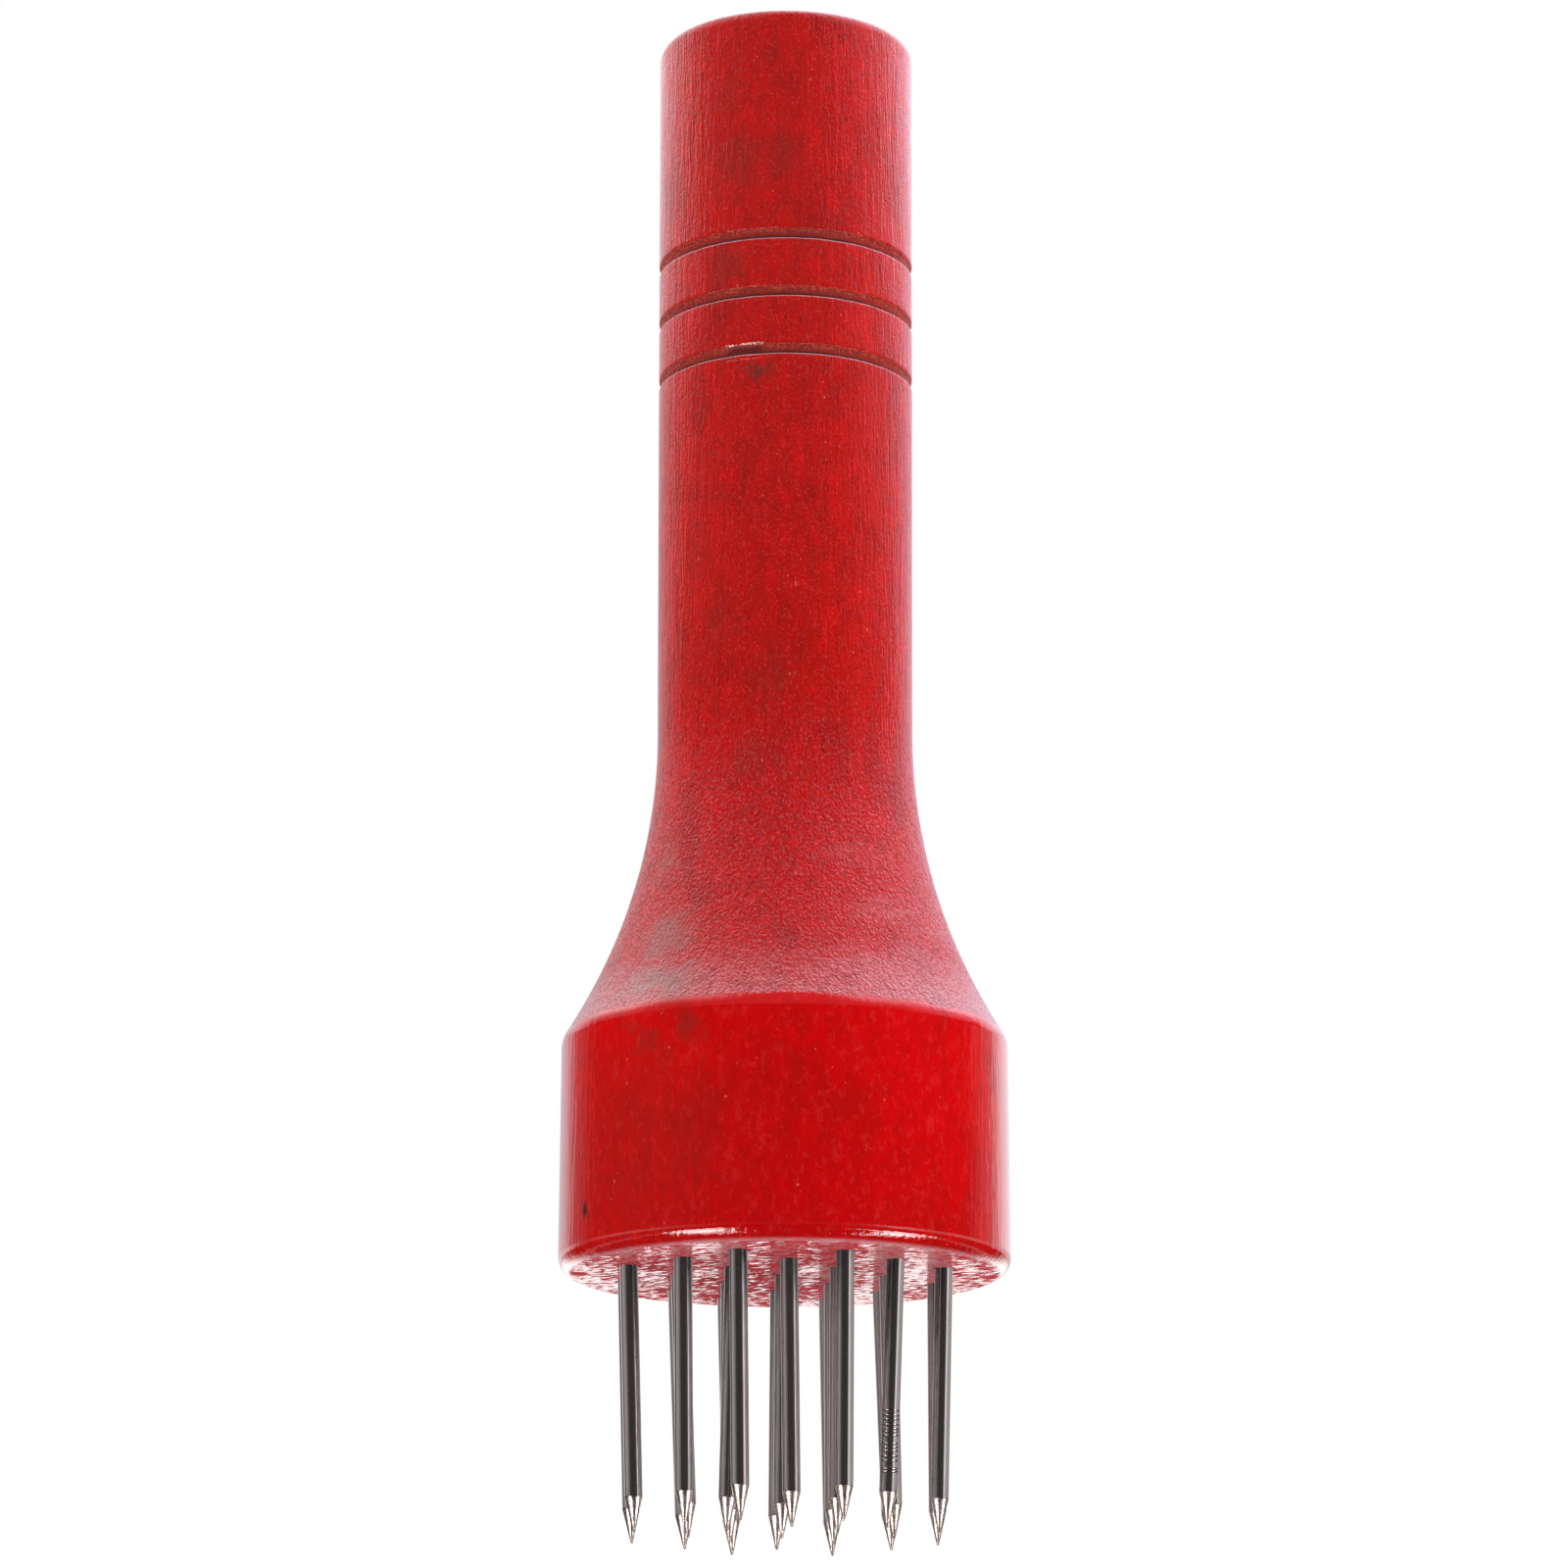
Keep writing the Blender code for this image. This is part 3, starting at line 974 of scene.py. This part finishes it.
def polishedSteel():
    material, tree, shader = newMaterial("polished_steel", steel["shank"])
    place = millimetres(tree)
    ground = attribute(tree, "ground")
    drawn, smudges, flecks, cuts = (
        noise(place, steel[name]) for name in ("drawn", "smudges", "flecks", "cuts")
    )
    colour = blendColour(ground, steel["shank"], steel["point"])
    dark = times(ground, ease(cuts, *steel["darkLevels"]))
    colour = blendColour(dark, colour, steel["groundDark"])
    burnt = times(attribute(tree, "burnt"), ease(flecks, *steel["burntLevels"]))
    plug(shader.inputs["Base Color"], blendColour(burnt, colour, steel["burnt"]))
    shader.inputs["Metallic"].default_value = 1.0
    gloss = blendValue(ground, steel["shankGloss"], steel["pointGloss"])
    gloss = calc("ADD", gloss, ease(smudges, *steel["smudgeLevels"]))
    plug(shader.inputs["Roughness"], gloss)
    drawn = times(drawn, steel["drawnRelief"])
    cuts = times(cuts, steel["cutRelief"])
    addRelief(shader, blendValue(ground, drawn, cuts), 1.0, ("Normal",))
    return material


# What the wood's material needs to know of a place, with the distances over which it changes
bodyMarks = {
    "rimWood": (0.9 * mm, 2.2 * mm),  # over the underside
    "endGrain": (0.5 * mm, 1.2 * mm),  # out from where the underside stops being flat
    "rimSheenBand": ((0.2 * mm, 0.8 * mm), (0.9 * mm, 1.5 * mm)),  # where the painted sheen lies: in and out again, from there too
    "groove": (0.05 * mm, 0.2 * mm),  # under the grip's surface
    "gripEnds": (5 * mm, 3 * mm),  # left out at the cove and at the butt
    "grooveReach": 3,  # half widths to each side
    "farRow": 9.0,  # stands for no groove near
}


def markBody(mesh):
    points = vertexPoints(mesh)
    radius = np.hypot(points[:, 0], points[:, 1])
    height = points[:, 2]
    flat = radius - rim + body["rimRadius"]
    atEnd = (height < underside + body["rimHeight"]) * 1.0
    inward, outward = bodyMarks["rimSheenBand"]
    # the band of painted sheen along the underside's edge
    edgeSheen = smoothStep(flat, *inward) * (1 - smoothStep(flat, *outward))
    storeAttribute(mesh, "rimWood", 1 - smoothStep(height - underside, *bodyMarks["rimWood"]))
    storeAttribute(mesh, "endGrain", (1 - smoothStep(flat, *bodyMarks["endGrain"])) * atEnd)
    storeAttribute(mesh, "rimSheenBand", edgeSheen * atEnd)

    atCove, atButt = bodyMarks["gripEnds"]
    onGrip = (height > coveTop + atCove) & (height < topHeight - atButt)
    sunk = gripRadius(height) - body["unevenness"] - radius
    storeAttribute(mesh, "groove", smoothStep(sunk, *bodyMarks["groove"]) * onGrip)
    half = grooves["width"] / 2
    rows = np.full(len(height), bodyMarks["farRow"])
    for middle in grooveHeights:
        near = np.abs(height - middle) < bodyMarks["grooveReach"] * half
        rows[near] = (height[near] - middle) / half
    storeAttribute(mesh, "grooveRow", rows)
    angle = np.arctan2(points[:, 0], -points[:, 1])
    away = np.abs(height - grooveHeights[grooves["chipRing"]])
    storeAttribute(mesh, "chip", chipShare(angle) * (away < bodyMarks["grooveReach"] * half))


def buildBody(axes, material):
    blank = addObject("turned_wood_blank", bodySurface())
    drills = boreCutter(axes)
    cut = blank.modifiers.new("Bores", "BOOLEAN")
    cut.operation = "DIFFERENCE"
    cut.solver = "EXACT"
    cut.object = drills
    graph = bpy.context.evaluated_depsgraph_get()
    drilled = bpy.data.meshes.new_from_object(blank.evaluated_get(graph))
    drilled.name = "turned_wood_body"
    for helper in (blank, drills):
        bpy.data.objects.remove(helper)
    markBody(drilled)
    wood = addPiece("turned_wood_body", drilled, material, "turned_handle")
    wood.visible_glossy = False  # so that the needles don't mirror the underside


def buildNeedles(axes, material):
    soft = needle["ground"]
    for label, (tip, top) in axes.items():
        mesh = needleSurface(label + "_steel", tip, top)
        run = (vertexPoints(mesh) - tip) @ spokesRound(tip, top)[0]
        past = run - needle["pointLength"]
        storeAttribute(mesh, "ground", 1 - smoothStep(past, -soft, soft))
        storeAttribute(mesh, "burnt", 1 - smoothStep(run, *needle["burnt"]))
        addPiece(label + "_steel", mesh, material, label)


axes = {
    name: needleAxis(node)
    for name, node in sorted(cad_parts.items())
    if name.startswith("needle_")
}
buildBody(axes.values(), lacqueredWood())
print("turned body made")
buildNeedles(axes, polishedSteel())
print("%d needles made" % len(axes))

# The studio: a paper tent round the tool that only gloss sees, dark in front and bright at the
# back and above, with two white panels low in front. Angles are degrees: round the tent's middle
# from the camera's side, + to its right, and up
studio = {
    "plain": 0.68,  # how bright the world is to matt surfaces
    "tentRadius": 0.4,
    "tentHeight": 64 * mm,  # of its middle
    "tentRows": 50,
    "tentColumns": 96,
    "front": 0.015,  # brightness where nothing else is painted
    # the paint, each row over those before it: lowest and highest with their softness, then its
    # stretches from left to right with their softness and brightness
    "paint": [
        # above the head
        (22, 5, 200, 1, [(-136, -74, 14, 0.28), (74, 136, 14, 0.46)]),
        (15, 1, 200, 1, [(-400, -126, 9, 0.72), (126, 400, 9, 1.02)]),
        (24.5, 2, 200, 1, [(-70, 70, 26, 0.15)]),
        (50, 16, 200, 1, [(-400, -40, 16, 1.1)]),
        (43, 14, 200, 1, [(46, 400, 16, 1.6)]),
        (34, 8, 200, 1, [(-400, -96, 12, 1.7)]),
        (35, 8, 200, 1, [(104, 400, 12, 2.1)]),
        # what the head's side sees
        (4.4, 0.15, 15, 1, [
            (-400, -118, 8, 0.14), (112, 400, 9, 0.22), (-400, -138, 6, 0.62), (134, 400, 7, 0.96),
        ]),
        # what the needles see
        (-5, 1, 4.4, 0.15, [
            (-400, 400, 1, 0.4), (-400, -128, 12, 0.85), (128, 400, 12, 0.7), (-128, -100, 10, 0.12),
            (-100, -60, 10, 0.46), (-60, -20, 14, 0.22), (0, 114, 8, 0.54), (50, 66, 5, 1.3),
            (114, 128, 8, 0.3), (-40, 44, 12, 0.055),
        ]),
        # what the underside and the rim see
        (-30, 4, -6, 2, [(-400, -150, 12, 2.0), (150, 400, 12, 2.0)]),
        (-60, 3, -24, 1, [(-57, -33, 2, 4.5), (54, 75, 2, 4.5)]),
        (-46, 3, -24, 1, [(-57, -33, 2, 13.0), (54, 75, 2, 13.0)]),
        # what the needles' points see of the same two panels
        (-32, 1, -26.5, 1, [
            (-400, -75, 6, 0.36), (95, 400, 6, 0.42), (-65, -28, 4, 4.6), (40, 84, 6, 4.4),
        ]),
    ],
    "tint": (1.0, 0.985, 1.04, 1.0),  # above the needles' view
    "tintFrom": (4.5, 5.5),
    "skyTint": (1.0, 0.96, 1.13, 1.0),  # higher up on the right
    "skyFrom": (11, 14),
    "skySide": (25, 400, 20),
    "lamps": [
        # name, turn, height angle, distance, size, watts
        ("rightPanel", 84, 28, 1.1, 0.7, 6.8),
        ("leftPanel", -84, 28, 1.1, 0.8, 4.0),
        ("topPanel", 170, 70, 1.1, 0.8, 2.0),
    ],
    "floorRadius": 1.8,
    "floorSides": 64,
    "floorColour": (0.82, 0.82, 0.82, 1.0),
    "floorRoughness": 0.9,
    "floorShine": 0.1,
    "floorFade": (0.22, 0.55),  # where it goes over into white, from its middle
}
white = (1.0, 1.0, 1.0, 1.0)


def mixShaders(share, under, over):
    node = newNode("ShaderNodeMixShader", share)
    plugAll(node.inputs, (share, under, over))
    return node.outputs[0]


def studioWorld():
    # white to the camera, plain light to matt surfaces
    world = bpy.data.worlds.new("white_studio")
    bpy.context.scene.world = world
    world.use_nodes = True
    world.cycles.sampling_method = "NONE"
    tree = world.node_tree
    shader = tree.nodes["Background"]
    shader.inputs["Color"].default_value = white
    rays = tree.nodes.new("ShaderNodeLightPath").outputs
    seen = calc("MAXIMUM", rays["Is Camera Ray"], rays["Is Transmission Ray"])
    plug(shader.inputs["Strength"], blendValue(seen, studio["plain"], 1.0))


def paintedPaper():
    # the tent's brightness by direction from its middle
    material = bpy.data.materials.new("painted_paper")
    material.use_nodes = True
    material.cycles.emission_sampling = "NONE"
    tree = material.node_tree
    tree.nodes.clear()
    outward = vectorCalc("SUBTRACT", objectPlace(tree), (0, 0, studio["tentHeight"]))
    x, y, z = separate(turned(outward, cameraSetup["turn"]))
    around = calc("DEGREES", calc("ARCTAN2", x, times(y, -1.0)))
    level = vectorCalc("LENGTH", shift(outward, (1, 1, 0)))
    upward = calc("DEGREES", calc("ARCTAN2", z, level))
    shine = studio["front"]
    for low, softLow, high, softHigh, stretches in studio["paint"]:
        belt = window(upward, low, high, softLow, softHigh)
        for left, right, soft, brightness in stretches:
            mask = times(belt, window(around, left, right, soft))
            shine = blendValue(mask, shine, brightness)
    sky = times(window(around, *studio["skySide"]), ease(upward, *studio["skyFrom"]))
    tint = blendColour(sky, studio["tint"], studio["skyTint"])
    glow = tree.nodes.new("ShaderNodeEmission")
    plug(glow.inputs["Strength"], shine)
    tintShare = ease(upward, *studio["tintFrom"])
    plug(glow.inputs["Color"], blendColour(tintShare, white, tint))
    end = tree.nodes.new("ShaderNodeOutputMaterial")
    plug(end.inputs["Surface"], glow.outputs[0])
    return material


def buildTent():
    # a sphere of rings round the tool's head
    rise = np.linspace(-math.pi / 2, math.pi / 2, studio["tentRows"])[1:-1, None]
    angle = circleAngles(studio["tentColumns"])[None, :]
    rings = np.stack(
        [np.cos(rise) * np.cos(angle), np.cos(rise) * np.sin(angle), np.sin(rise) * angle**0], axis=-1
    )
    rings = rings * studio["tentRadius"] + (0, 0, studio["tentHeight"])
    tent = addObject("studio_tent", ringSurface("studio_tent", rings))
    tent.data.materials.append(paintedPaper())
    for kind in ("camera", "diffuse", "transmission", "volume_scatter", "shadow"):
        setattr(tent, "visible_" + kind, False)


def addLamp(name, turn, rise, away, size, watts):
    lamp = bpy.data.lights.new(name, "AREA")
    lamp.shape = "DISK"
    lamp.size = size
    lamp.energy = watts
    holder = addObject(name, lamp)
    around, up = math.radians(turn + cameraSetup["turn"]), math.radians(rise)
    middle = Matrix.Translation((0.0, 0.0, topHeight / 2))
    swing = Matrix.Rotation(around, 4, "Z") @ Matrix.Rotation(math.pi / 2 - up, 4, "X")
    holder.matrix_world = middle @ swing @ Matrix.Translation((0.0, 0.0, away))
    holder.visible_camera = False
    holder.visible_glossy = False


def floorPaper():
    # paper that fades to white, clear from below and to gloss
    material, tree, shader = newMaterial("floor_paper", studio["floorColour"])
    shader.inputs["Base Color"].default_value = studio["floorColour"]
    shader.inputs["Roughness"].default_value = studio["floorRoughness"]
    shader.inputs["Specular IOR Level"].default_value = studio["floorShine"]
    rays = tree.nodes.new("ShaderNodeLightPath").outputs
    fade = ease(vectorCalc("LENGTH", objectPlace(tree)), *studio["floorFade"])
    fade = times(fade, rays["Is Camera Ray"])
    bright = tree.nodes.new("ShaderNodeEmission")
    paper = mixShaders(fade, shader.outputs[0], bright.outputs[0])
    fromBelow = tree.nodes.new("ShaderNodeNewGeometry").outputs["Backfacing"]
    unseen = calc("MAXIMUM", fromBelow, rays["Is Glossy Ray"])
    clear = tree.nodes.new("ShaderNodeBsdfTransparent")
    surface = mixShaders(unseen, paper, clear.outputs[0])
    plug(tree.nodes["Material Output"].inputs["Surface"], surface)
    return material


def buildFloor():
    # a flat disc, which lets a camera below it see the needles
    angle = circleAngles(studio["floorSides"])
    edge = np.column_stack([np.cos(angle), np.sin(angle), 0 * angle]) * studio["floorRadius"]
    mesh = bpy.data.meshes.new("studio_floor")
    mesh.from_pydata(edge.tolist(), [], [list(range(studio["floorSides"]))])
    mesh.materials.append(floorPaper())
    addObject("studio_floor", mesh)


studioWorld()
buildTent()
for row in studio["lamps"]:
    addLamp(*row)
buildFloor()
bpy.context.scene.view_settings.view_transform = "Standard"
print("studio lit")
